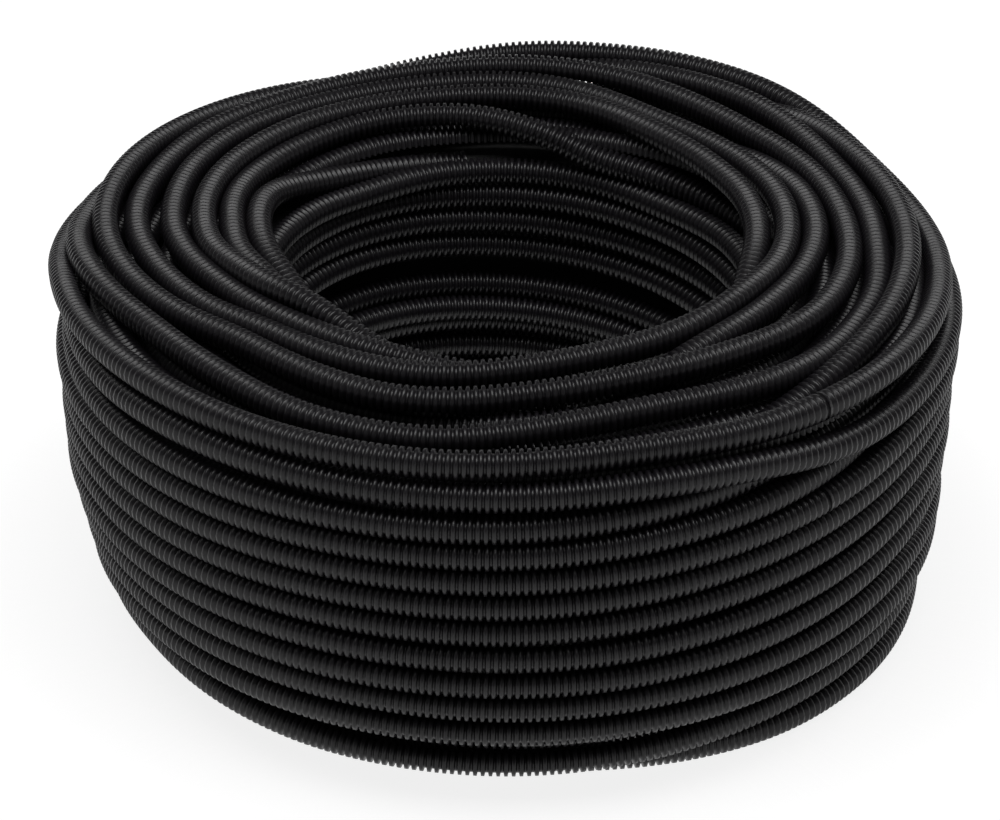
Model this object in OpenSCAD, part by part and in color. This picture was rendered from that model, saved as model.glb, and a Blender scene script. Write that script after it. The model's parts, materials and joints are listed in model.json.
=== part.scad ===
// Coil of corrugated conduit, split lengthwise, lying on one end with its axis upright.
// The wound body is one turned solid: every turn that shows on its walls and ends is a round ring,
// and the buried turns are its plain core. The two free ends of the conduit are true corrugated tube.
// Origin: on the coil's axis, at the level of the floor. Millimetres, +Z up, -Y is the front.

/* [Conduit] */
// Outside diameter, over the ribs
conduit_od = 10.4; // [9.6:0.2:11]
// Inside diameter, between the ribs
conduit_id = 7; // [6.4:0.2:7.6]
// Thickness of the moulded wall
wall = 0.35; // [0.25:0.05:0.5]
// Distance from one rib to the next
rib_pitch = 2.7; // [2.5:0.1:3]
// Width of the flat top of a rib
crest_w = 1.1; // [1:0.1:1.3]
// Length that each side of a rib takes up along the conduit
flank_run = 0.3; // [0.2:0.05:0.4]
// Width of the lengthwise slit
slit_w = 0.4; // [0.2:0.1:0.8]

/* [Coil] */
// Diameter over the widest turns, at the shoulder
coil_d = 342; // [300:6:390]
// Clear diameter of the bore through the coil
bore_d = 180; // [140:10:240]
// Turns stacked up the wall
rows = 14; // [8:1:18]
// Gap between stacked turns
row_gap = 0.2; // [0.1:0.1:1.2]
// Least gap between turns side by side on an end
column_gap = 0.2; // [0.1:0.1:1]
// How much smaller in radius the outer wall is at the floor than at the shoulder
foot_inset = 16; // [0:2:20]
// How far the topmost turn of the outer wall is drawn in from the shoulder
shoulder_inset = 5; // [0:1:8]
// How deep every second turn of the top face lies between its neighbours
top_nest = 5; // [0:0.5:6]
// How deep every second turn of the bore wall lies behind its neighbours
bore_nest = 1.2; // [0:0.2:3]

/* [Free ends] */
// Row of the outer wall that the outer end leaves, counted from the floor
outer_end_row = 6; // [3:1:7]
// Length of the outer end that stays plain beside the wall it leaves
outer_lead_len = 66; // [60:2:80]
// Ribs on the open, hollow length at the outer end's mouth
outer_mouth_ribs = 12; // [6:1:14]
// Row of the bore wall above which the inner end comes out, counted from the floor
inner_end_row = 6; // [3:1:6]
// Radius to which the inner end is bent as it springs into the bore
inner_end_bend = 45; // [40:1:50]
// Angle through which the inner end bends
inner_end_sweep = 70; // [60:2:72]
// Ribs on the open, hollow length at the inner end's mouth
inner_mouth_ribs = 8; // [4:1:8]

/* [Hidden] */
$fn = 96;

tube_r = conduit_od / 2;
bore_wall_r = conduit_id / 2;        // inside of the tube, between the ribs
groove_r = bore_wall_r + wall;       // outside of the tube, between the ribs
fold_r = tube_r - wall;              // inside of the tube, under a rib

row_step = conduit_od + row_gap;
column_step = conduit_od + column_gap;
inner_line = bore_d / 2 + tube_r;                    // centre line of the innermost turns
outer_line = coil_d / 2 - tube_r;    // centre line of the shoulder's turns

// Centre of each turn of the outer wall, the bore wall, the top face and the foot, as [radius, height]
function row_z(k) = tube_r + k * row_step;
function wall_line(k) = outer_line - foot_inset * pow(1 - k / (rows - 1), 2)
    - (k == rows - 1 ? shoulder_inset : 0);
function outer_turn(k) = [wall_line(k), row_z(k)];
function inner_turn(k) = [inner_line + (k % 2) * bore_nest, row_z(k)];

top_outer = wall_line(rows - 1);
foot_outer = wall_line(0);
top_columns = floor((top_outer - inner_line) / column_step);
foot_columns = floor((foot_outer - inner_line) / column_step);
function top_turn(c) = [inner_line + c * (top_outer - inner_line) / top_columns,
    row_z(rows - 1) - (c % 2) * top_nest];
function foot_turn(c) = [inner_line + c * (foot_outer - inner_line) / foot_columns, row_z(0)];

outer_turns = [for (k = [0:rows - 1]) outer_turn(k)];
top_turns = [for (c = [top_columns - 1:-1:1]) top_turn(c)];
inner_turns = [for (k = [rows - 1:-1:0]) inner_turn(k)];
foot_turns = [for (c = [1:foot_columns - 1]) foot_turn(c)];
turns = concat(outer_turns, top_turns, inner_turns, foot_turns);

lead_r = tube_r - 0.3;               // the plain leads stay just inside the turns they leave
outer_end_r = wall_line(outer_end_row);
outer_end_len = outer_lead_len + outer_mouth_ribs * rib_pitch;
// The mouth lies on the diagonal of the coil's square outline, so it adds nothing to its size
outer_end_angle = 45 - atan(outer_end_len / outer_end_r);
inner_end_r = inner_line + tube_r;   // its root is buried behind the bore wall
inner_end_z = row_z(inner_end_row) + row_step / 2;
inner_end_angle = -130;              // low and at the front, turning to the right

// ---- section through the coil ----

module coil_section() {
    polygon(turns);
    for (t = turns) translate(t) circle(r = tube_r);
}

// ---- corrugated tube, along +X from the origin ----

// One rib's outline over one pitch, as [along, radius], from groove to groove
function rib_outline(at, groove, crest, crest_width) = [
    [at - crest_width / 2 - flank_run, groove],
    [at - crest_width / 2, crest],
    [at + crest_width / 2, crest],
    [at + crest_width / 2 + flank_run, groove]
];

// Turns an outline of [along, radius] points about the X axis
module turned(points) {
    rotate([0, 90, 0]) rotate_extrude() polygon([for (p = points) [p[1], p[0]]]);
}

// Hollow, thin-walled and ribbed, open at its far end, with the lengthwise slit on top
module mouth(ribs) {
    length = ribs * rib_pitch;
    outside = [for (i = [0:ribs - 1])
        each rib_outline((i + 0.5) * rib_pitch, groove_r, tube_r, crest_w)];
    inside = [for (i = [0:ribs - 1])
        each rib_outline((i + 0.5) * rib_pitch, bore_wall_r, fold_r, crest_w - 2 * wall)];
    back = [for (i = [len(inside) - 1:-1:0]) inside[i]];
    difference() {
        turned(concat([[0, groove_r]], outside, [[length, groove_r], [length, bore_wall_r]],
            back, [[0, bore_wall_r]]));
        translate([rib_pitch, -slit_w / 2, 0]) cube([length, slit_w, conduit_od]);
    }
}

// Closes a mouth's inner end and joins it to its lead
module plug() {
    translate([-rib_pitch / 2, 0, 0]) rotate([0, 90, 0])
        cylinder(h = rib_pitch * 3 / 4, r = (groove_r + lead_r) / 2);
}

// ---- the three stretches of the one conduit ----

module wound_turns() {
    rotate_extrude() coil_section();
}

// The outer end runs straight on from a turn of the outer wall, at the back
module outer_end() {
    rotate([0, 0, outer_end_angle])
        translate([outer_end_r, 0, row_z(outer_end_row)])
            rotate([0, 0, 90]) {
                rotate([0, 90, 0]) cylinder(h = outer_lead_len, r = lead_r);
                translate([outer_lead_len, 0, 0]) {
                    plug();
                    mouth(outer_mouth_ribs);
                }
            }
}

// The inner end comes out between two turns of the bore wall and bends away from it, at the front
module inner_end() {
    rotate([0, 0, inner_end_angle])
        translate([inner_end_r - inner_end_bend, 0, inner_end_z]) {
            rotate_extrude(angle = inner_end_sweep)
                translate([inner_end_bend, 0]) circle(r = lead_r);
            rotate([0, 0, inner_end_sweep])
                translate([inner_end_bend, 0, 0]) rotate([0, 0, 90]) {
                    plug();
                    mouth(inner_mouth_ribs);
                }
        }
}

module conduit_coil() {
    color([0.05, 0.05, 0.06]) {
        wound_turns();
        outer_end();
        inner_end();
    }
}

conduit_coil();
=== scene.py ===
"""Looks of a coil of split corrugated conduit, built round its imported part.

Lengths are millimetres up to the point where a mesh is made. Azimuth is in
degrees round the coil's axis: 0 is the side facing -Y and 90 the side facing +X.
A turn is kept as the radius and height of its middle at evenly spaced stations.
"""

import json
import math

import bpy
import numpy as np
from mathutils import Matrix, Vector

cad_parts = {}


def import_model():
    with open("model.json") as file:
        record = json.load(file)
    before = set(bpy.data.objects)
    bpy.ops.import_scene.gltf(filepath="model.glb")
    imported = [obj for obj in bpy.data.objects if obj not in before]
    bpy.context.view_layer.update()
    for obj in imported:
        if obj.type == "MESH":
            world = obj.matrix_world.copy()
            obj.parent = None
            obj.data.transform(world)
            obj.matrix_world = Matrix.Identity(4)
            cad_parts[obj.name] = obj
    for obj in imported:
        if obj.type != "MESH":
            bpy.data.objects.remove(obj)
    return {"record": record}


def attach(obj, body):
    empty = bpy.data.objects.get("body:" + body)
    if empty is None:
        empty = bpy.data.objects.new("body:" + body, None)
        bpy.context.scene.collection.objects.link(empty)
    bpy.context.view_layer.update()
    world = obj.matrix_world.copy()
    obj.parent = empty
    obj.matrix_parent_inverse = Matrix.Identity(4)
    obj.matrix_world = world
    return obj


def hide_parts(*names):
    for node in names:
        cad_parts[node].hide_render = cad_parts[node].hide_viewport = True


MM = 0.001

# conduit
TUBE_R = 5.2
GROOVE_R = 3.85
WALL = 0.35
RIB_PITCH = 2.7
CREST_W = 1.1
FLANK_W = 0.3
SLIT_W = 0.4
RIB_SLIP = 0.25

# coil
STATIONS = 240
STEP = 360 / STATIONS
TOUCH = 2 * TUBE_R - 0.2
TURN_BLUR = 3.0
BORE_R = 95.4
BORE_STAGGER = 0.5
BORE_ROWS = 11
BORE_ROWS_Z = (7, 124)
BORE_SLANT = 10.0
BORE_TOP_Z = 138
SECOND_LAYER_R = (107, 153)
SECOND_LAYER_TURNS = 5
SECOND_LAYER_Z = 131.5
FOOT_TURNS_R = (106.5, 117.4)

# settling: passes, the part of a push that a pass makes, what is kept of a shift
# from one pass to the next, and over how many stations a shift is blurred
SETTLE_PASSES = 90
SETTLE_STEP = 0.6
SETTLE_KEPT = 0.985
SETTLE_BLUR = 2.5

# each kind of turn's share of a push: the long runs keep their given way best
RUN_SHARE = 0.25
END_ROW_SHARE = 0.3
SIDE_SHARE = 0.5
FREE_SHARE = 1.0

# directions in a turn's own section, in degrees
OUTWARD, UP, INWARD, DOWN = 0, 90, 180, 270

# flat sides round a conduit's section
VISIBLE_SIDES = 14
DEEP_SIDES = 12
END_SIDES = 16
MOUTH_SIDES = 24

# free ends
OUTER_END_LENGTH = 98.4
OUTER_MOUTH_RIBS = 12
INNER_END_AZIMUTH = -40
INNER_END_R = 100.4
INNER_END_Z = 74.1
INNER_BEND = 45
INNER_SWEEP = 70
INNER_MOUTH_RIBS = 8
INNER_END_ROW = 6
END_ROW_SLANT = 9.5
LEAD_STATIONS = 20

# The winding, lap after lap: (azimuth, radius, height) of the conduit's middle.
# It climbs the outer wall from the foot, then works inwards over the top.
FOOT_SPIRAL = [(-300, 120, 5.2), (-180, 130, 5.2), (-100, 138, 5.2)]
LOWER_LAPS = [
    [(-60, 142, 5.2), (-30, 139, 5.2), (0, 138, 5.2), (15, 143, 5.2), (27, 148, 5.2),
     (40, 153, 5.2), (60, 156, 5.2), (100, 156, 5.2), (180, 155, 5.2), (230, 154.5, 6.5),
     (265, 154, 13)],
    [(-60, 155, 22), (-45, 155.5, 18), (-30, 153, 13.5), (0, 151, 12), (20, 151.5, 13.5),
     (30, 152.5, 15.5), (45, 155, 18.5), (60, 157, 21), (85, 158, 25.5), (180, 158, 26.4),
     (250, 158, 27)],
    [(-60, 160, 33.5), (-30, 161.5, 33.5), (0, 161, 33), (30, 161.5, 34), (60, 162, 36.5),
     (100, 161, 37.2), (180, 161, 37), (250, 161, 38.5)],
    [(-60, 162.5, 45.5), (-30, 164, 46.5), (0, 164.5, 46), (30, 164, 47), (45, 163.5, 48.5),
     (60, 163, 50), (85, 162, 48), (180, 163, 47.6), (250, 163.5, 49.5)],
    [(-60, 164.5, 57), (-30, 165.5, 57), (0, 165.5, 56.8), (15, 165.5, 57.5), (30, 165.5, 59.5),
     (45, 164.5, 62), (60, 163.5, 65), (85, 162, 68), (104, 161.2, 68.8)],
]
UPPER_LAPS = [
    [(40, 149, 66), (75, 150, 68), (104, 150.8, 68.8), (114, 153, 68.8), (120, 157, 68.8),
     (128, 162.5, 68.8), (180, 164.5, 68), (250, 166.5, 67.5)],
    [(-60, 166.5, 67.8), (-30, 166, 68), (0, 166, 68), (15, 166, 69), (30, 165.5, 71.3),
     (45, 165, 74), (60, 164, 77), (100, 162.5, 78.5), (180, 164.5, 78), (250, 167, 77.8)],
    [(-60, 166.5, 78), (-45, 166.5, 79.3), (-30, 166, 79.6), (0, 166, 79.2), (15, 166, 81.2),
     (30, 165.5, 83.8), (45, 165, 87), (60, 164, 90.5), (100, 162.5, 90), (180, 164.5, 88.5),
     (250, 167.5, 87.5)],
    [(-60, 166.5, 87.6), (-45, 166.5, 88.8), (-30, 166, 89.6), (0, 166, 89.9), (15, 166, 92),
     (30, 165.5, 95), (45, 165, 98.5), (60, 164, 102), (100, 162.5, 101), (180, 164.5, 99),
     (250, 167.5, 97.5)],
    [(-60, 166.5, 97.6), (-45, 166.5, 98.6), (-30, 166, 99.5), (0, 166, 100.3), (15, 166, 102.3),
     (30, 165.5, 105.3), (45, 165, 109.5), (60, 163.5, 113), (100, 162.5, 112), (180, 164, 109.5),
     (250, 167.5, 107.5)],
    [(-60, 166.5, 106.8), (-30, 166, 108.7), (0, 166, 110.5), (15, 166, 113.3), (30, 165.5, 117.3),
     (40, 163, 119), (55, 156, 118.5), (110, 155, 117), (180, 158, 116), (240, 164, 114.5)],
    [(-60, 166.5, 117.3), (-30, 166, 119), (0, 165.5, 120.5), (15, 165, 123.5), (27, 163, 125.5),
     (40, 157, 126), (55, 154, 126), (110, 153.5, 124), (180, 157, 123), (240, 164, 124)],
    [(-60, 165.5, 129.5), (-45, 165, 132), (0, 163, 132), (15, 163.5, 134.5), (30, 164.5, 133),
     (37, 165.5, 129.5), (45, 166, 126.5), (60, 165, 124.5), (104, 164, 123), (180, 164, 125),
     (212, 163, 129), (227, 165, 129), (240, 165.5, 131), (255, 166, 134.5),
     (263, 166.5, 135.5), (270, 165.8, 138.5), (280, 165, 141.5)],
]
TOP_LAPS = [
    [(-68, 165, 142.5), (-50, 162.5, 142.5), (-30, 162, 142.5), (-10, 161.5, 142.5),
     (0, 159.5, 142.5), (15, 157, 142.5), (32, 161.5, 142.5), (50, 162.5, 142.5),
     (63, 161.5, 142), (72, 160, 140.5), (80, 158.5, 138), (90, 158.5, 135),
     (105, 158.5, 133), (118, 159, 134), (133, 163.5, 139), (142, 166, 142),
     (155, 165.5, 144), (170, 163.5, 143.5), (180, 162, 142.5), (189, 159, 139),
     (200, 160, 134), (212, 163, 129), (227, 165, 129), (240, 165.5, 131),
     (255, 166, 134.5), (263, 166.5, 136), (270, 165.5, 139), (277, 161.5, 142.5)],
    [(-73, 154, 142.5), (-63, 146, 142.5), (-52, 143.5, 142.5), (-42, 143.5, 142.5),
     (-31, 147, 142.5), (-21, 148, 142.5), (-10, 147, 142.5), (0, 140, 142.5),
     (10, 134.5, 142.5), (21, 132, 142.5), (32, 135, 142), (42, 140, 142),
     (53, 141, 140.5), (63, 138.5, 139), (75, 139.5, 140.5), (83, 136.5, 142),
     (93, 136, 142.5), (103, 137.5, 142.5), (113, 138.5, 142.5), (123, 142.5, 142.5),
     (132, 148, 142.5), (142, 153.5, 142.5), (152, 155, 142.5), (161, 156, 142),
     (170, 156, 139.5), (180, 156, 136), (195, 158, 134), (207, 162, 135),
     (217, 163, 137), (227, 163.5, 139), (237, 163.5, 141), (247, 162.5, 142),
     (257, 160.5, 142.5), (267, 156, 142.5), (277, 149, 142.5)],
    [(-73, 141, 142.5), (-63, 133, 142.5), (-53, 123.5, 142.5), (-42, 122.5, 142.5),
     (-32, 123, 142.5), (-21, 124.5, 142.5), (-11, 122, 142.5), (0, 116.5, 142.5),
     (11, 113, 142.5), (21, 112, 142.5), (32, 113, 142.5), (43, 116, 142.5),
     (53, 121, 142.5), (63, 124.5, 142.5), (73, 126, 142.5), (84, 127, 142.5),
     (104, 127.5, 142.5), (123, 128.5, 142.5), (133, 129.5, 142.5), (142, 133, 142.5),
     (152, 139, 142.5), (161, 144.5, 142.5), (170, 148, 142.5), (180, 149.5, 142.5),
     (199, 149, 142.5), (208, 149, 142.5), (218, 151, 142), (228, 152.5, 142),
     (237, 152, 142.5), (247, 149, 142.5), (257, 147, 142.5), (267, 142.5, 142.5),
     (277, 135, 142.5)],
    [(-73, 128, 142.5), (-63, 121.5, 142.5), (-53, 112, 142.5), (-43, 110, 142.5),
     (-32, 108.5, 142.5), (-21, 107.5, 142.5), (-11, 104.5, 142.5), (0, 99, 142.5),
     (11, 95, 142.5), (22, 93, 142.5), (43, 94, 142.5), (64, 96, 142.5),
     (75, 100, 142.5), (85, 102.5, 142.5), (95, 105, 142.5), (104, 107.5, 142.5),
     (114, 109.5, 142.5), (133, 111, 142.5), (143, 113, 142.5), (152, 116, 142.5),
     (161, 123.5, 142.5), (170, 132, 142.5), (180, 137, 142.5), (190, 138.5, 142.5),
     (208, 140, 142.5), (218, 141, 142.5), (227, 142, 142.5), (237, 140.5, 142.5),
     (247, 137.5, 142.5), (256, 133, 142.5), (266, 128.5, 142.5), (276, 121, 142.5)],
    [(-74, 112.5, 142.5), (-64, 107.5, 142.5), (-53, 102.5, 142.5), (-43, 100, 142.5),
     (-32, 98, 142), (-21, 96.5, 141), (-5, 95.5, 138), (15, 95.5, 134), (40, 95.5, 131),
     (70, 98, 127), (95, 104, 123)],
]
SIDE_TURNS = {
    "shoulder": [(-25, 150, 124), (0, 151, 129), (25, 152, 132), (35, 152, 134),
                 (45, 150.5, 138.5), (55, 148.5, 142), (75, 148, 142.5), (93, 148.5, 142.5),
                 (118, 150, 142.5), (126, 153, 142), (133, 156, 140), (143, 158, 135),
                 (155, 158, 131), (190, 152, 124)],
    "crossing": [(-20, 118, 122), (5, 112, 130), (22, 110, 134), (33, 108, 140),
                 (43, 106.5, 142.5), (54, 106, 142.5), (64, 106.5, 142.5), (74, 109, 142.5),
                 (84, 112.5, 142.5), (94, 115.5, 142.5), (104, 117.5, 142.5),
                 (114, 119.5, 141.5), (124, 120.5, 139), (134, 121, 135), (150, 122, 130),
                 (175, 124, 122)],
    "lip": [(15, 104, 122), (45, 96, 130), (64, 92, 136), (76, 91, 141), (85, 92, 142.5),
            (95, 93.5, 142.5), (114, 97, 142.5), (124, 98, 142.5), (134, 101, 142.5),
            (143, 103.5, 142.5), (152, 108.5, 142.5), (161, 118, 142), (170, 123, 142),
            (180, 125, 142.5), (208, 127, 142.5), (218, 128, 142.5), (227, 127, 142.5),
            (246, 124, 142.5), (256, 121, 142.5), (266, 116.5, 142.5), (276, 112.5, 142.5),
            (286, 104.5, 142.5), (296, 100, 142.5), (306, 94, 142), (316, 93, 139),
            (330, 95, 134), (350, 96, 128), (385, 104, 121)],
    "rise": [(105, 108, 121), (135, 101, 126), (160, 95.5, 131), (170, 97, 138), (180, 99.5, 142),
             (189, 107.5, 142.5), (199, 112, 142.5), (208, 116.5, 141.5), (217, 118.5, 140),
             (236, 118.5, 139), (246, 116, 140), (256, 111, 142), (266, 106, 142.5),
             (276, 103.5, 142.5), (285, 96, 142.5), (296, 91, 141), (315, 92, 136),
             (335, 95, 131), (365, 103, 122)],
    "inner_lip": [(190, 108, 121), (212, 102, 127), (225, 100, 131), (238, 103, 136),
                  (246, 104, 140), (255, 101, 142), (265, 97.5, 142.5), (275, 94, 142),
                  (285, 89, 140), (300, 88, 136), (320, 91, 131), (345, 97, 125),
                  (370, 106, 120)],
    "back_low": [(55, 146, 14), (75, 151, 14.5), (95, 156.5, 15.6), (180, 157, 15.8),
                 (225, 156, 17), (250, 151, 19), (270, 145, 20)],
    "back_middle": [(55, 148, 58), (72, 153, 58), (95, 161.5, 58.4), (180, 163.5, 58),
                    (235, 163, 59), (258, 156, 60), (280, 149, 60)],
    "recess_high": [(-110, 150, 121), (-95, 154, 121), (-60, 155, 121), (-37, 155.5, 120.5),
                    (0, 155.5, 117.5), (30, 155, 116), (60, 149, 112), (75, 146, 110)],
    "recess_low": [(-95, 146, 28), (-80, 152, 28), (-45, 152, 27), (-15, 150, 24), (0, 150, 23),
                   (40, 151, 26), (80, 151, 30), (100, 146, 32)],
}


def smoothed(values, sigma, closed):
    """values along a run of stations, blurred over sigma stations."""
    reach = int(3 * sigma)
    kernel = np.exp(-0.5 * (np.arange(-reach, reach + 1) / sigma) ** 2)
    kernel /= kernel.sum()
    mode = "wrap" if closed else "edge"
    padded = np.pad(values, ((reach, reach), (0, 0)), mode=mode)
    columns = [np.convolve(column, kernel, "valid") for column in padded.T]
    return np.stack(columns, axis=1)


def chained(laps, first_lap=0):
    """One list of points from several laps, azimuth running on from lap to lap."""
    points = []
    for number, lap in enumerate(laps, first_lap):
        points += [(azimuth + 360 * number, radius, height) for azimuth, radius, height in lap]
    return points


def open_turn(points):
    """A turn with two ends, along given points."""
    azimuth, radius, height = np.array(points, float).T
    first, last = math.ceil(azimuth[0] / STEP), math.floor(azimuth[-1] / STEP)
    at = np.arange(first, last + 1) * STEP
    run = np.stack([np.interp(at, azimuth, radius), np.interp(at, azimuth, height)], axis=1)
    return {"first": first, "closed": False, "run": smoothed(run, TURN_BLUR, False)}


def closed_turn(radius, height, sway, phase, slant=0.0):
    """A turn that closes on itself, swaying in radius and slanting down to +X."""
    at = np.radians(np.arange(STATIONS) * STEP)
    run = np.stack([radius + sway * np.sin(2 * at + phase),
                    height - slant * np.sin(at) + 0.3 * sway * np.sin(3 * at + phase)], axis=1)
    return {"first": 0, "closed": True, "run": run}


def bore_slant(height):
    """How far a bore row at this height dips to +X: most of all halfway up."""
    return BORE_SLANT * math.sin(math.pi * min(height / BORE_TOP_Z, 1.0))


def bore_turns():
    """The rows that line the bore, slanted, down to the foot."""
    heights = np.linspace(*BORE_ROWS_Z, BORE_ROWS)
    return [closed_turn(BORE_R + BORE_STAGGER * (-1) ** k, z, 1.0, 2.1 * k, bore_slant(z))
            for k, z in enumerate(heights) if k != INNER_END_ROW]


def inner_end_turn():
    """The bore row that ends in the inner free end, from behind that end round to its root."""
    root = INNER_END_AZIMUTH + 360
    level = INNER_END_Z + END_ROW_SLANT * math.sin(math.radians(INNER_END_AZIMUTH))
    points = [(-34, 108, INNER_END_Z), (-22, 105.5, INNER_END_Z), (-9, 99.5, INNER_END_Z)]
    points += [(azimuth, BORE_R, level - END_ROW_SLANT * math.sin(math.radians(azimuth)))
               for azimuth in range(5, 291, 15)]
    points += [(root - 20, 97, INNER_END_Z - 0.5), (root, INNER_END_R, INNER_END_Z)]
    return open_turn(points)


def second_turns():
    """The turns that show through the gaps of the top."""
    radii = np.linspace(*SECOND_LAYER_R, SECOND_LAYER_TURNS)
    return [closed_turn(radius, SECOND_LAYER_Z, 1.5, 1.3 * k) for k, radius in enumerate(radii)]


def foot_turns():
    """The turns that the coil lies on."""
    return [closed_turn(radius, TUBE_R, 0.8, 1.7 * k) for k, radius in enumerate(FOOT_TURNS_R)]


def placed(turns, shares):
    """Where each turn lies in a grid of laps by stations, and the share of each of its rows."""
    row_shares, index = [], []
    for turn, share in zip(turns, shares):
        steps = np.arange(len(turn["run"]))
        lap = steps // STATIONS
        index.append((len(row_shares) + lap, (turn["first"] + steps) % STATIONS))
        row_shares += [share] * (int(lap[-1]) + 1)
    return index, np.array(row_shares)[:, None]


def settle(turns, shares):
    """Pushes turns apart at each station until none runs through another.

    shares holds each turn's share of a push, from 0 for one that stays put to 1.
    Cells of the grid that no turn fills lie far off, each row at its own place.
    """
    index, share = placed(turns, shares)
    row_count = len(share)
    weight = share / np.maximum(share + share.T, 1e-6)
    start = [turn["run"].copy() for turn in turns]
    for _ in range(SETTLE_PASSES):
        grid = np.full((row_count, STATIONS, 2), 1e4)
        grid += 1e3 * np.arange(row_count)[:, None, None]
        for turn, where in zip(turns, index):
            grid[where] = turn["run"]
        gap = grid[:, None] - grid[None]
        span = np.sqrt((gap ** 2).sum(-1)) + 1e-6
        push = np.clip(TOUCH - span, 0, None) * weight[:, :, None] * (span < TOUCH)
        push[np.arange(row_count), np.arange(row_count)] = 0
        move = (gap / span[..., None] * push[..., None]).sum(1)
        for turn, where, begin in zip(turns, index, start):
            shift = turn["run"] + SETTLE_STEP * move[where] - begin
            shift = smoothed(SETTLE_KEPT * shift, SETTLE_BLUR, turn["closed"])
            turn["run"] = begin + shift
            turn["run"][:, 1] = np.maximum(turn["run"][:, 1], TUBE_R)


def around(azimuth):
    """Unit vector away from the axis at an azimuth in degrees."""
    angle = math.radians(azimuth)
    return np.array([math.sin(angle), -math.cos(angle), 0.0])


def middle_line(turn):
    """The turn's middle as 3-D points, one per station."""
    azimuth = np.radians((turn["first"] + np.arange(len(turn["run"]))) * STEP)
    radius, height = turn["run"].T
    line = np.stack([radius * np.sin(azimuth), -radius * np.cos(azimuth), height], axis=1)
    if turn["closed"]:
        line = np.vstack([line, line[:1]])
    return line


def led_to(line, root):
    """line with its last stretch eased over, so that it ends exactly at root."""
    ease = np.clip(1 - np.arange(len(line))[::-1] / LEAD_STATIONS, 0, 1)
    ease = ease * ease * (3 - 2 * ease)
    return line + ease[:, None] * (root - line[-1])


def outer_end(pin):
    """The outer free end's middle, straight on from its root to its mouth."""
    ahead = np.array(pin["axis"])
    mouth = np.array(pin["pos_m"]) / MM + ahead * pin["dims"]["length_mm"] / 2
    steps = np.linspace(0, OUTER_END_LENGTH, 40)
    return mouth + (steps[:, None] - OUTER_END_LENGTH) * ahead


def inner_end():
    """The inner free end's middle: an arc into the bore, then straight on."""
    centre = (INNER_END_R - INNER_BEND) * around(INNER_END_AZIMUTH) + [0, 0, INNER_END_Z]
    angles = INNER_END_AZIMUTH + np.linspace(0, INNER_SWEEP, 30)
    arc = np.array([centre + INNER_BEND * around(angle) for angle in angles])
    ahead = around(angles[-1] + 90)
    steps = np.linspace(1, INNER_MOUTH_RIBS * RIB_PITCH, 10)
    return np.vstack([arc, arc[-1] + steps[:, None] * ahead])


def along(line, at):
    """Points at the distances at along a 3-D line, and its directions there."""
    steps = np.linalg.norm(np.diff(line, axis=0), axis=1)
    run = np.concatenate([[0], np.cumsum(steps)])
    tangent = np.gradient(line, run, axis=0)
    place = np.stack([np.interp(at, run, column) for column in line.T], axis=1)
    direction = np.stack([np.interp(at, run, column) for column in tangent.T], axis=1)
    return place, direction / np.linalg.norm(direction, axis=1, keepdims=True)


def rings(line, radii, slit, sides):
    """Vertices of the rings along line, (ring, column, 3), and the columns' angles.

    Four rings a rib, at the crest's two edges and the groove's, and one that closes
    the last rib. radii is the crest's and the groove's, slit the angle of the slit in
    the section, in degrees. The section is open there.
    """
    length = np.linalg.norm(np.diff(line, axis=0), axis=1).sum()
    ribs = int(length / RIB_PITCH)
    pitch = length / ribs
    offsets = np.array([0, CREST_W, CREST_W + FLANK_W, RIB_PITCH - FLANK_W]) * pitch / RIB_PITCH
    at = np.append((np.arange(ribs)[:, None] * pitch + offsets).ravel(), length)
    radius = np.append(np.tile(np.repeat(radii, 2), ribs), radii[0])
    place, ahead = along(line, at)
    across = np.cross(ahead, [0, 0, 1.0])
    across /= np.linalg.norm(across, axis=1, keepdims=True)
    up = np.cross(across, ahead)
    edge = SLIT_W / 2 / TUBE_R
    turn = np.linspace(edge, 2 * math.pi - edge, sides + 1)
    angle = math.radians(slit) + turn
    slip = RIB_SLIP * pitch * (turn / (2 * math.pi) - 0.5)
    return (place[:, None]
            + radius[:, None, None] * (np.cos(angle)[None, :, None] * across[:, None]
                                       + np.sin(angle)[None, :, None] * up[:, None])
            + slip[None, :, None] * ahead[:, None]), angle


def ribbed(line, sides, slit, facing=OUTWARD, cover=180):
    """Vertices and faces of the conduit along line, as far as it can be seen.

    Of the section only what lies within cover degrees of facing is modelled: the
    rest is buried in the coil.
    """
    vertices, angle = rings(line, (TUBE_R, GROOVE_R), slit, sides)
    count, columns = vertices.shape[:2]
    middle = (angle[1:] + angle[:-1]) / 2 - math.radians(facing)
    kept = np.flatnonzero(np.cos(middle) >= math.cos(math.radians(cover)) - 1e-9)
    corner = (np.arange(count - 1)[:, None] * columns + kept[None]).ravel()
    faces = np.stack([corner, corner + 1, corner + columns + 1, corner + columns], axis=1)
    return vertices.reshape(-1, 3), faces


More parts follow.
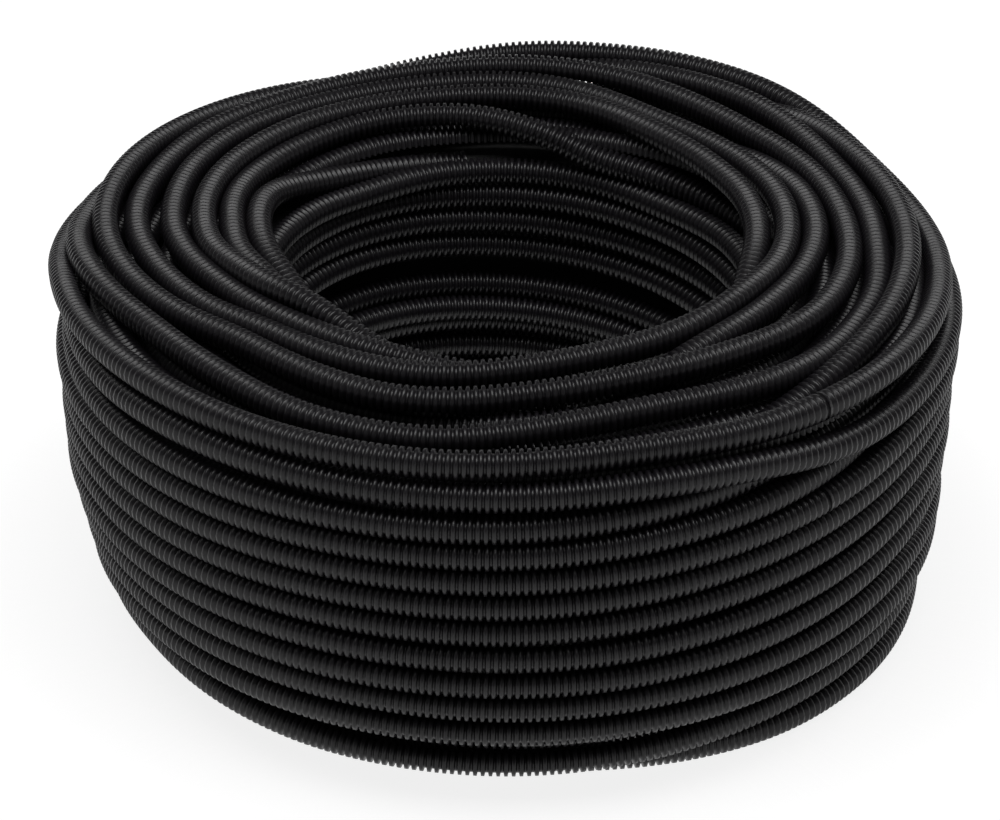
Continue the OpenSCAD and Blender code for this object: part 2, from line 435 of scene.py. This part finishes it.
def open_mouth(line, slit):
    """A hollow, thin-walled stretch of the conduit, open at its end and along its slit."""
    outside = rings(line, (TUBE_R, GROOVE_R), slit, MOUTH_SIDES)[0]
    inside = rings(line, (TUBE_R - WALL, GROOVE_R - WALL), slit, MOUTH_SIDES)[0]
    count, columns = outside.shape[:2]
    grid = np.arange(count * columns).reshape(count, columns)
    hidden = grid + count * columns
    quads = [(grid[:-1, :-1], grid[:-1, 1:], grid[1:, 1:], grid[1:, :-1]),
             (hidden[:-1, :-1], hidden[1:, :-1], hidden[1:, 1:], hidden[:-1, 1:]),
             (grid[-1, :-1], grid[-1, 1:], hidden[-1, 1:], hidden[-1, :-1]),
             (grid[:-1, 0], grid[1:, 0], hidden[1:, 0], hidden[:-1, 0]),
             (grid[1:, -1], grid[:-1, -1], hidden[:-1, -1], hidden[1:, -1])]
    faces = np.vstack([np.stack([corner.ravel() for corner in quad], axis=1) for quad in quads])
    return np.vstack([outside.reshape(-1, 3), inside.reshape(-1, 3)]), faces


def free_end(line, mouth_ribs, slit):
    """Parts of a free end: ribbed up to its mouth, hollow from there on."""
    steps = np.linalg.norm(np.diff(line, axis=0), axis=1)
    run = np.concatenate([[0], np.cumsum(steps)])
    split = run[-1] - mouth_ribs * RIB_PITCH
    lead = along(line, np.append(run[run < split - 1], split))[0]
    mouth = along(line, np.linspace(split, run[-1], 30))[0]
    return [ribbed(lead, END_SIDES, slit), open_mouth(mouth, slit)]


def mesh_object(name, parts, material):
    """One smooth mesh object from (vertices, faces) parts in millimetres, without loose vertices."""
    count, vertices, faces = 0, [], []
    for part_vertices, part_faces in parts:
        vertices.append(part_vertices)
        faces.append(part_faces + count)
        count += len(part_vertices)
    used, faces = np.unique(np.vstack(faces), return_inverse=True)
    vertices, faces = np.vstack(vertices)[used] * MM, faces.reshape(-1, 4)
    mesh = bpy.data.meshes.new(name)
    mesh.vertices.add(len(vertices))
    mesh.vertices.foreach_set("co", vertices.astype(np.float32).ravel())
    mesh.loops.add(faces.size)
    mesh.loops.foreach_set("vertex_index", faces.astype(np.int32).ravel())
    mesh.polygons.add(len(faces))
    mesh.polygons.foreach_set("loop_start", np.arange(0, faces.size, 4, dtype=np.int32))
    mesh.polygons.foreach_set("use_smooth", np.ones(len(faces), dtype=bool))
    mesh.update(calc_edges=True)
    mesh.materials.append(material)
    piece = bpy.data.objects.new(name, mesh)
    bpy.context.scene.collection.objects.link(piece)
    return piece


def lathe(profile, steps=96):
    """Vertices and faces of a closed (radius, height) profile turned about Z."""
    angle = np.linspace(0, 2 * math.pi, steps, endpoint=False)
    radius, height = np.array(profile, float).T
    vertices = np.stack([np.cos(angle)[:, None] * radius, np.sin(angle)[:, None] * radius,
                         np.broadcast_to(height, (steps, len(radius)))], axis=-1).reshape(-1, 3)
    count = len(profile)
    j, i = np.meshgrid(np.arange(steps), np.arange(count), indexing="ij")
    nj, ni = (j + 1) % steps, (i + 1) % count
    faces = np.stack([j * count + i, nj * count + i, nj * count + ni, j * count + ni], axis=-1)
    return vertices, faces.reshape(-1, 4)


def plastic(name, colour, roughness):
    """Black polyethylene: a soft sheen, uneven over a few millimetres, and a fine grain."""
    material = bpy.data.materials.new(name)
    material.use_nodes = True
    nodes, links = material.node_tree.nodes, material.node_tree.links
    shader = nodes["Principled BSDF"]
    shader.inputs["Base Color"].default_value = (*colour, 1)
    shader.inputs["IOR"].default_value = 1.5
    shader.inputs["Specular IOR Level"].default_value = 0.32
    place = nodes.new("ShaderNodeTexCoord")
    cloud = nodes.new("ShaderNodeTexNoise")
    cloud.inputs["Scale"].default_value = 120
    links.new(place.outputs["Object"], cloud.inputs["Vector"])
    sheen = nodes.new("ShaderNodeMapRange")
    sheen.inputs["To Min"].default_value = roughness - 0.08
    sheen.inputs["To Max"].default_value = roughness + 0.08
    links.new(cloud.outputs["Fac"], sheen.inputs["Value"])
    links.new(sheen.outputs["Result"], shader.inputs["Roughness"])
    grain = nodes.new("ShaderNodeTexNoise")
    grain.inputs["Scale"].default_value = 900
    grain.inputs["Detail"].default_value = 3
    links.new(place.outputs["Object"], grain.inputs["Vector"])
    bump = nodes.new("ShaderNodeBump")
    bump.inputs["Strength"].default_value = 0.15
    bump.inputs["Distance"].default_value = 0.0002
    links.new(grain.outputs["Fac"], bump.inputs["Height"])
    links.new(bump.outputs["Normal"], shader.inputs["Normal"])
    return material


def white_sweep():
    """White ground with a raised rim: seen directly, in gloss or through something it glows
    white and keeps its shadows, and for light that bounces it is plain."""
    material = bpy.data.materials.new("ground")
    material.use_nodes = True
    nodes, links = material.node_tree.nodes, material.node_tree.links
    nodes.remove(nodes["Principled BSDF"])
    plain = nodes.new("ShaderNodeBsdfDiffuse")
    plain.inputs["Color"].default_value = (0.8, 0.8, 0.8, 1)
    shaded = nodes.new("ShaderNodeBsdfDiffuse")
    shaded.inputs["Color"].default_value = (0.3, 0.3, 0.3, 1)
    glow = nodes.new("ShaderNodeEmission")
    glow.inputs["Strength"].default_value = 0.85
    both = nodes.new("ShaderNodeAddShader")
    links.new(shaded.outputs["BSDF"], both.inputs[0])
    links.new(glow.outputs["Emission"], both.inputs[1])
    path = nodes.new("ShaderNodeLightPath")
    camera_or_gloss = nodes.new("ShaderNodeMath")
    camera_or_gloss.operation = "MAXIMUM"
    links.new(path.outputs["Is Camera Ray"], camera_or_gloss.inputs[0])
    links.new(path.outputs["Is Glossy Ray"], camera_or_gloss.inputs[1])
    seen = nodes.new("ShaderNodeMath")
    seen.operation = "MAXIMUM"
    links.new(camera_or_gloss.outputs["Value"], seen.inputs[0])
    links.new(path.outputs["Is Transmission Ray"], seen.inputs[1])
    mix = nodes.new("ShaderNodeMixShader")
    links.new(seen.outputs["Value"], mix.inputs["Fac"])
    links.new(plain.outputs["BSDF"], mix.inputs[1])
    links.new(both.outputs["Shader"], mix.inputs[2])
    links.new(mix.outputs["Shader"], nodes["Material Output"].inputs["Surface"])
    profile = [(1, -0.2), (6000, -0.2), (6900, 300), (7200, 1700),
               (7300, 1700), (7300, -10), (1, -10)]
    return mesh_object("ground", [lathe(profile)], material)


def dim_world():
    """A little even light from a dark room."""
    world = bpy.data.worlds.new("studio")
    bpy.context.scene.world = world
    world.use_nodes = True
    lit = world.node_tree.nodes["Background"]
    lit.inputs["Color"].default_value = (1, 1, 1, 1)
    lit.inputs["Strength"].default_value = 0.12


def area_light(name, place, aim, size, power):
    """A rectangular lamp at place, pointed at aim, in metres and watts."""
    data = bpy.data.lights.new(name, "AREA")
    data.shape = "RECTANGLE"
    data.size, data.size_y = size
    data.energy = power
    lamp = bpy.data.objects.new(name, data)
    lamp.location = place
    lamp.rotation_euler = (Vector(aim) - Vector(place)).to_track_quat("-Z", "Y").to_euler()
    bpy.context.scene.collection.objects.link(lamp)


def camera():
    """The view of the reference: from the front, looking down on the coil."""
    elevation, distance, target = math.radians(31), 1.2, Vector((0, 0, 0.074))
    back = Vector((0, -math.cos(elevation), math.sin(elevation)))
    data = bpy.data.cameras.new("view")
    data.sensor_width = 36
    data.lens = 111.3
    data.shift_x = -0.012
    data.shift_y = -0.015
    eye = bpy.data.objects.new("view", data)
    eye.location = target + back * distance
    eye.rotation_euler = (-back).to_track_quat("-Z", "Y").to_euler()
    bpy.context.scene.collection.objects.link(eye)
    bpy.context.scene.camera = eye


def declare(piece):
    """The piece rides the root body and stands for the coil."""
    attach(piece, "root")
    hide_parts("conduit_coil")


def cut(line, count):
    """line in count stretches that share their ends."""
    ends = np.linspace(0, len(line) - 1, count + 1).astype(int)
    return [line[begin:end + 1] for begin, end in zip(ends, ends[1:])]


def winding():
    """Every turn of the coil in its group, settled against the others."""
    lower = open_turn(FOOT_SPIRAL + chained(LOWER_LAPS))
    upper = open_turn(chained(UPPER_LAPS + TOP_LAPS))
    end_row = inner_end_turn()
    sides = [open_turn(points) for points in SIDE_TURNS.values()]
    bore, second, foot = bore_turns(), second_turns(), foot_turns()
    free = bore + second + foot
    shares = [RUN_SHARE, RUN_SHARE, END_ROW_SHARE]
    shares += [SIDE_SHARE] * len(sides) + [FREE_SHARE] * len(free)
    settle([lower, upper, end_row] + sides + free, shares)
    return {"lower": lower, "upper": upper, "end_row": end_row, "sides": sides,
            "bore": bore, "second": second, "foot": foot}


def wall_and_top(turns, outer_root, black):
    """The two long runs: the lower one leads to the outer free end, the upper one over the top."""
    lower_line = led_to(middle_line(turns["lower"]), outer_root)
    upper_line = middle_line(turns["upper"])
    shoulder = STATIONS * len(UPPER_LAPS)
    wall = [lower_line] + cut(upper_line[:shoulder + 1], 2)
    for name, line in zip(["wall_low", "wall_middle", "wall_high"], wall):
        part = ribbed(line, VISIBLE_SIDES, INWARD + 10, OUTWARD, 125)
        declare(mesh_object(name, [part], black))
    top = ribbed(upper_line[shoulder:], VISIBLE_SIDES, DOWN + 5, UP, 140)
    declare(mesh_object("top_turns", [top], black))


def short_turns(turns, black):
    """The turns between the long runs, in the bore, under the top and at the foot."""
    halfway = BORE_ROWS // 2
    bore_low, bore_high = turns["bore"][:halfway], turns["bore"][halfway:]
    # name: turns, sides, where the slit is, which way they show, how far round
    groups = {
        "side_turns": (turns["sides"], VISIBLE_SIDES, DOWN, UP, 140),
        "bore_low": (bore_low, DEEP_SIDES, OUTWARD, INWARD, 110),
        "bore_high": (bore_high, DEEP_SIDES, OUTWARD, INWARD, 110),
        "second_layer": (turns["second"], DEEP_SIDES, DOWN, UP, 100),
        "foot_turns": (turns["foot"], DEEP_SIDES, UP, DOWN, 110),
    }
    for name, (members, sides, slit, facing, cover) in groups.items():
        parts = [ribbed(middle_line(turn), sides, slit, facing, cover) for turn in members]
        declare(mesh_object(name, parts, black))


def free_ends(end_row, outer_line, black):
    """Both ends of the conduit, the inner one with the bore row that it springs from."""
    declare(mesh_object("outer_end", free_end(outer_line, OUTER_MOUTH_RIBS, UP), black))
    inner_line = inner_end()
    row = led_to(middle_line(end_row), inner_line[0])
    parts = [ribbed(row, VISIBLE_SIDES, OUTWARD, INWARD, 150)]
    parts += free_end(inner_line, INNER_MOUTH_RIBS, UP)
    declare(mesh_object("inner_end", parts, black))


def buried_turns(dark):
    """The plain core that stands for the turns which can't be seen, in a painted shade darker than
    the conduit.
    """
    core = lathe([(106, 1), (131, 1), (140, 14), (147, 24), (151, 60), (151, 100), (147, 118),
                  (140, 125), (106, 125), (103, 120), (103, 5)])
    declare(mesh_object("inner_turns", [core], dark))


def main():
    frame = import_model()
    bpy.context.scene.view_settings.view_transform = "Standard"
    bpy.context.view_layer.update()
    camera()

    black = plastic("conduit", (0.005, 0.0043, 0.0055), 0.36)
    # conduit_shade is painted shade: a black darker and rougher than the conduit's own, so that the
    # gaps down to the core read as shade.
    dark = plastic("conduit_shade", (0.001, 0.001, 0.001), 0.7)
    pin = next(mount for mount in frame["record"]["mounts"] if mount["name"] == "outer_end")
    outer_line = outer_end(pin)
    turns = winding()
    wall_and_top(turns, outer_line[0], black)
    short_turns(turns, black)
    free_ends(turns["end_row"], outer_line, black)
    buried_turns(dark)

    white_sweep()
    dim_world()
    area_light("top_lamp", (0, -0.25, 1.6), (0, 0, 0.1), (1.7, 0.75), 26)


main()
